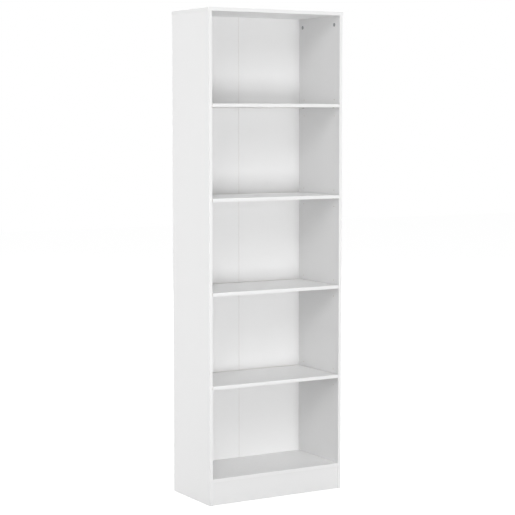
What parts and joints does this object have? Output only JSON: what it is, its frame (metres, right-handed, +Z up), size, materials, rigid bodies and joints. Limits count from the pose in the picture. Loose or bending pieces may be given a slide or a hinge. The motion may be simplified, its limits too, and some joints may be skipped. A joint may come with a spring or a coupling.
{
  "type": "bookcase",
  "caption": "Tall narrow open bookcase with adjustable shelves on push-in pins, an overlapping top, a plinth base and a thin folded back panel.",
  "frame": {"origin": "on the floor under the middle of the overall outline", "axes": "+Z up, the open front faces -Y, +X to the right seen from the front"},
  "size_m": [0.6, 0.3, 1.89],
  "materials": {
    "white_board": "chipboard faced with smooth white melamine, satin",
    "edge_band": "white edging strip, satin",
    "back_board": "hardboard, white lacquer inside and raw brown behind",
    "hinge_tape": "thin adhesive tape, matt",
    "zinc": "die-cast zinc, dull",
    "plated_steel": "zinc-plated steel",
    "beech": "raw fluted beech",
    "nickel_steel": "nickel-plated steel, bright",
    "nail_steel": "bright steel"
  },
  "bodies": {
    "carcass": {"side_panel_left": "white_board", "side_edge_band_left": "edge_band", "top_edge_band_left": "edge_band", "back_panel_left": "back_board", "side_panel_right": "white_board", "side_edge_band_right": "edge_band", "top_edge_band_right": "edge_band", "back_panel_right": "back_board", "top_panel": "white_board", "top_edge_band_front": "edge_band", "bottom_panel": "white_board", "bottom_edge_band": "edge_band", "plinth_panel": "white_board", "top_cams": "zinc", "top_cam_bolts": "plated_steel", "top_dowels": "beech", "bottom_cams": "zinc", "bottom_cam_bolts": "plated_steel", "bottom_dowels": "beech", "plinth_cams": "zinc", "plinth_cam_bolts": "plated_steel", "plinth_dowels": "beech", "back_hinge_tape": "hinge_tape", "back_nails": "nail_steel"},
    "shelf_1": {"shelf_panel_1": "white_board", "shelf_edge_band_1": "edge_band"},
    "pin_1_left_front": {"shelf_pin_1_left_front": "nickel_steel"},
    "pin_1_left_rear": {"shelf_pin_1_left_rear": "nickel_steel"},
    "pin_1_right_front": {"shelf_pin_1_right_front": "nickel_steel"},
    "pin_1_right_rear": {"shelf_pin_1_right_rear": "nickel_steel"},
    "shelf_2": {"shelf_panel_2": "white_board", "shelf_edge_band_2": "edge_band"},
    "pin_2_left_front": {"shelf_pin_2_left_front": "nickel_steel"},
    "pin_2_left_rear": {"shelf_pin_2_left_rear": "nickel_steel"},
    "pin_2_right_front": {"shelf_pin_2_right_front": "nickel_steel"},
    "pin_2_right_rear": {"shelf_pin_2_right_rear": "nickel_steel"},
    "shelf_3": {"shelf_panel_3": "white_board", "shelf_edge_band_3": "edge_band"},
    "pin_3_left_front": {"shelf_pin_3_left_front": "nickel_steel"},
    "pin_3_left_rear": {"shelf_pin_3_left_rear": "nickel_steel"},
    "pin_3_right_front": {"shelf_pin_3_right_front": "nickel_steel"},
    "pin_3_right_rear": {"shelf_pin_3_right_rear": "nickel_steel"},
    "shelf_4": {"shelf_panel_4": "white_board", "shelf_edge_band_4": "edge_band"},
    "pin_4_left_front": {"shelf_pin_4_left_front": "nickel_steel"},
    "pin_4_left_rear": {"shelf_pin_4_left_rear": "nickel_steel"},
    "pin_4_right_front": {"shelf_pin_4_right_front": "nickel_steel"},
    "pin_4_right_rear": {"shelf_pin_4_right_rear": "nickel_steel"}
  },
  "joints": [
    {"name": "shelf_1_lift", "type": "slide", "parent": "carcass", "child": "shelf_1", "axis": [0, 0, 1], "range_m": [0, 0.04]},
    {"name": "shelf_2_lift", "type": "slide", "parent": "carcass", "child": "shelf_2", "axis": [0, 0, 1], "range_m": [0, 0.04]},
    {"name": "shelf_3_lift", "type": "slide", "parent": "carcass", "child": "shelf_3", "axis": [0, 0, 1], "range_m": [0, 0.04]},
    {"name": "shelf_4_lift", "type": "slide", "parent": "carcass", "child": "shelf_4", "axis": [0, 0, 1], "range_m": [0, 0.04]},
    {"name": "pin_1_left_front_pull", "type": "slide", "parent": "carcass", "child": "pin_1_left_front", "axis": [1, 0, 0], "range_m": [0, 0.0085]},
    {"name": "pin_1_left_rear_pull", "type": "slide", "parent": "carcass", "child": "pin_1_left_rear", "axis": [1, 0, 0], "range_m": [0, 0.0085]},
    {"name": "pin_1_right_front_pull", "type": "slide", "parent": "carcass", "child": "pin_1_right_front", "axis": [-1, 0, 0], "range_m": [0, 0.0085]},
    {"name": "pin_1_right_rear_pull", "type": "slide", "parent": "carcass", "child": "pin_1_right_rear", "axis": [-1, 0, 0], "range_m": [0, 0.0085]},
    {"name": "pin_2_left_front_pull", "type": "slide", "parent": "carcass", "child": "pin_2_left_front", "axis": [1, 0, 0], "range_m": [0, 0.0085]},
    {"name": "pin_2_left_rear_pull", "type": "slide", "parent": "carcass", "child": "pin_2_left_rear", "axis": [1, 0, 0], "range_m": [0, 0.0085]},
    {"name": "pin_2_right_front_pull", "type": "slide", "parent": "carcass", "child": "pin_2_right_front", "axis": [-1, 0, 0], "range_m": [0, 0.0085]},
    {"name": "pin_2_right_rear_pull", "type": "slide", "parent": "carcass", "child": "pin_2_right_rear", "axis": [-1, 0, 0], "range_m": [0, 0.0085]},
    {"name": "pin_3_left_front_pull", "type": "slide", "parent": "carcass", "child": "pin_3_left_front", "axis": [1, 0, 0], "range_m": [0, 0.0085]},
    {"name": "pin_3_left_rear_pull", "type": "slide", "parent": "carcass", "child": "pin_3_left_rear", "axis": [1, 0, 0], "range_m": [0, 0.0085]},
    {"name": "pin_3_right_front_pull", "type": "slide", "parent": "carcass", "child": "pin_3_right_front", "axis": [-1, 0, 0], "range_m": [0, 0.0085]},
    {"name": "pin_3_right_rear_pull", "type": "slide", "parent": "carcass", "child": "pin_3_right_rear", "axis": [-1, 0, 0], "range_m": [0, 0.0085]},
    {"name": "pin_4_left_front_pull", "type": "slide", "parent": "carcass", "child": "pin_4_left_front", "axis": [1, 0, 0], "range_m": [0, 0.0085]},
    {"name": "pin_4_left_rear_pull", "type": "slide", "parent": "carcass", "child": "pin_4_left_rear", "axis": [1, 0, 0], "range_m": [0, 0.0085]},
    {"name": "pin_4_right_front_pull", "type": "slide", "parent": "carcass", "child": "pin_4_right_front", "axis": [-1, 0, 0], "range_m": [0, 0.0085]},
    {"name": "pin_4_right_rear_pull", "type": "slide", "parent": "carcass", "child": "pin_4_right_rear", "axis": [-1, 0, 0], "range_m": [0, 0.0085]}
  ]
}
